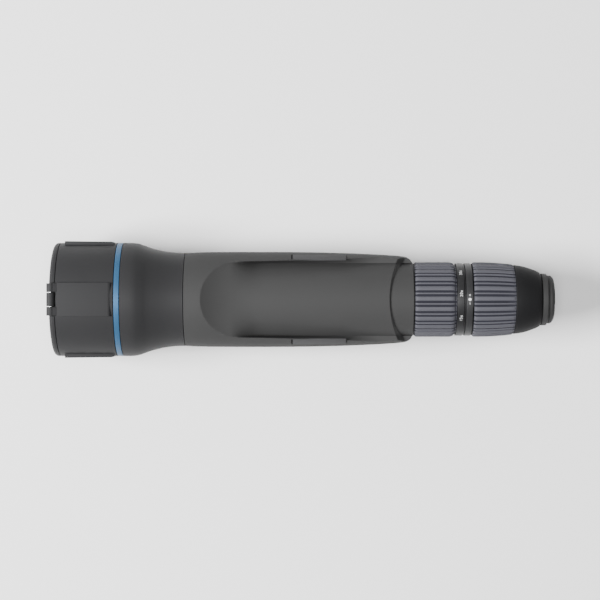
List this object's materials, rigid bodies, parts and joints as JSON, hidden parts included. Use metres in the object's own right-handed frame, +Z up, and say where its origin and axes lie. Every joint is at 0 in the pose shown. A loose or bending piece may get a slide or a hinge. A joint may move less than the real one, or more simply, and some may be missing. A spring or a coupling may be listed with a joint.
{
  "type": "spotting scope",
  "caption": "Straight spotting scope with a flip-up objective cover, zoom and focus rings, a twist-up eyecup and a tripod foot",
  "frame": {"origin": "on the ground under the middle of the scope, which stands on its tripod foot", "axes": "+X along the optical axis from the objective to the eyepiece, +Y to the right of a user looking through it, +Z up"},
  "size_m": [0.2744, 0.0638, 0.0689],
  "materials": {
    "hood_shell": "satin, fine grain",
    "body_rubber": "matte, soft touch",
    "accent": "satin blue anodised",
    "body_metal": "black anodised",
    "ring_metal": "satin black anodised",
    "ribbed_rubber": "matte bluish grey",
    "eyepiece_black": "half gloss black",
    "eyecup_rubber": "matte",
    "seal_rubber": "matte black",
    "coated_glass": "polished, green coated",
    "bright_steel": "turned",
    "cam_brass": "machined",
    "panel_plate": "satin"
  },
  "bodies": {
    "scope_body": {"objective_hood": "hood_shell", "hinge_pin": "bright_steel", "accent_ring": "accent", "objective_bell": "hood_shell", "grip_armour": "body_rubber", "body_casing": "body_metal", "side_panel_left": "panel_plate", "side_panel_right": "panel_plate", "objective_crown_lens": "coated_glass", "objective_flint_lens": "coated_glass", "objective_spacer": "body_metal", "objective_cell": "body_metal", "objective_retaining_ring": "body_metal", "light_baffle": "body_metal", "objective_o_ring": "seal_rubber", "tripod_foot": "body_rubber", "tripod_bushing": "cam_brass", "foot_screw_front": "bright_steel", "foot_screw_rear": "bright_steel", "erector_guide_tube": "body_metal", "field_stop": "body_metal", "eyepiece_tube": "body_metal", "index_ring": "ring_metal", "eyepiece_shell": "eyepiece_black"},
    "cover": {"lens_cover": "hood_shell", "cover_liner": "seal_rubber"},
    "zoom_drum": {"zoom_ring": "body_metal", "zoom_grip": "ribbed_rubber", "zoom_scale_ring": "ring_metal", "zoom_cam_tube": "cam_brass", "zoom_drive_screw": "bright_steel"},
    "front_carriage": {"erector_front_cell": "body_metal", "erector_front_lens": "coated_glass", "erector_front_pin": "bright_steel"},
    "rear_carriage": {"erector_rear_cell": "body_metal", "erector_rear_lens": "coated_glass", "erector_rear_pin": "bright_steel"},
    "focus_collar": {"focus_ring": "body_metal", "focus_grip": "ribbed_rubber"},
    "ocular": {"ocular_cell": "body_metal", "ocular_pin": "bright_steel", "field_lens": "coated_glass", "eye_lens": "coated_glass", "ocular_retaining_ring": "body_metal"},
    "eyecup_lift_ring": {"eyecup_carrier": "body_metal"},
    "eyecup": {"eyecup_sleeve": "eyepiece_black", "eyecup_rubber": "eyecup_rubber"}
  },
  "joints": [
    {"name": "cover_hinge", "type": "hinge", "parent": "scope_body", "child": "cover", "pos_m": [-0.13485, 0, 0.0666], "axis": [0, 1, 0], "range_deg": [0, 200]},
    {"name": "zoom_turn", "type": "hinge", "parent": "scope_body", "child": "zoom_drum", "pos_m": [0.07025, 0, 0.036], "axis": [1, 0, 0], "range_deg": [-30.5, 47]},
    {"name": "front_carriage_slide", "type": "slide", "parent": "scope_body", "child": "front_carriage", "axis": [1, 0, 0], "range_m": [-0.003, 0.0046]},
    {"name": "rear_carriage_slide", "type": "slide", "parent": "scope_body", "child": "rear_carriage", "axis": [1, 0, 0], "range_m": [-0.003, 0.002]},
    {"name": "focus_turn", "type": "hinge", "parent": "scope_body", "child": "focus_collar", "pos_m": [0.10325, 0, 0.036], "axis": [1, 0, 0], "range_deg": [-150, 150]},
    {"name": "ocular_slide", "type": "slide", "parent": "scope_body", "child": "ocular", "axis": [1, 0, 0], "range_m": [-0.00201, 0.00201]},
    {"name": "eyecup_lift", "type": "slide", "parent": "scope_body", "child": "eyecup_lift_ring", "axis": [1, 0, 0], "range_m": [0, 0.00601]},
    {"name": "eyecup_turn", "type": "hinge", "parent": "eyecup_lift_ring", "child": "eyecup", "pos_m": [0.13325, 0, 0.036], "axis": [1, 0, 0], "range_deg": [0, 120]}
  ],
  "couplings": [
    {"joint": "front_carriage_slide", "follows": "zoom_turn", "m_per_rad": 0.0055},
    {"joint": "rear_carriage_slide", "follows": "zoom_turn", "m_per_rad": -0.0036},
    {"joint": "ocular_slide", "follows": "focus_turn", "m_per_rad": 0.000764},
    {"joint": "eyecup_lift", "follows": "eyecup_turn", "m_per_rad": 0.002865}
  ]
}
